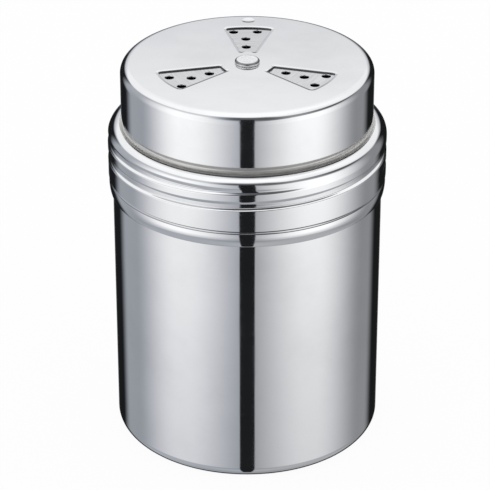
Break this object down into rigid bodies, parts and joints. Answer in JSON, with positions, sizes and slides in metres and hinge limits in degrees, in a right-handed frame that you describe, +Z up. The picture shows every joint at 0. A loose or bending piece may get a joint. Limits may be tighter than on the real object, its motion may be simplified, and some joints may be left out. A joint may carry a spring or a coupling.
{
  "type": "spice shaker",
  "caption": "Cylindrical metal spice shaker: drawn can, threaded screw lid with sprinkle holes and a turning dial cap with wedge windows on a rivet.",
  "frame": {"origin": "middle of the can's foot, on the surface the shaker stands on", "axes": "+Z up along the shaker's own axis, through the rivet; +X is where the collar's rolled thread starts; +Y points to the back window of the dial"},
  "size_m": [0.067, 0.067, 0.0969],
  "materials": {
    "can_steel": "mirror-polished stainless steel",
    "lid_steel": "mirror-polished stainless steel",
    "dial_steel": "mirror-polished stainless steel, softly buffed on top",
    "rivet_steel": "polished stainless steel",
    "washer_steel": "plain stainless spring and washer steel"
  },
  "bodies": {
    "can": {"can": "can_steel"},
    "rivet": {"pivot_rivet": "rivet_steel", "spring_washer": "washer_steel", "clench_washer": "washer_steel"},
    "lid": {"screw_lid": "lid_steel"},
    "dial": {"dial_cap": "dial_steel"}
  },
  "joints": [
    {"name": "lid_rise", "type": "slide", "parent": "can", "child": "rivet", "axis": [0, 0, 1], "range_m": [0, 0.0164]},
    {"name": "lid_turn", "type": "hinge", "parent": "rivet", "child": "lid", "pos_m": [0, 0, 0.0949], "axis": [0, 0, 1], "range_deg": [0, 1440]},
    {"name": "dial_turn", "type": "hinge", "parent": "lid", "child": "dial", "pos_m": [0, 0, 0.0957], "axis": [0, 0, 1], "continuous": true}
  ],
  "couplings": [
    {"joint": "lid_rise", "follows": "lid_turn", "m_per_rad": 0.00065253}
  ]
}
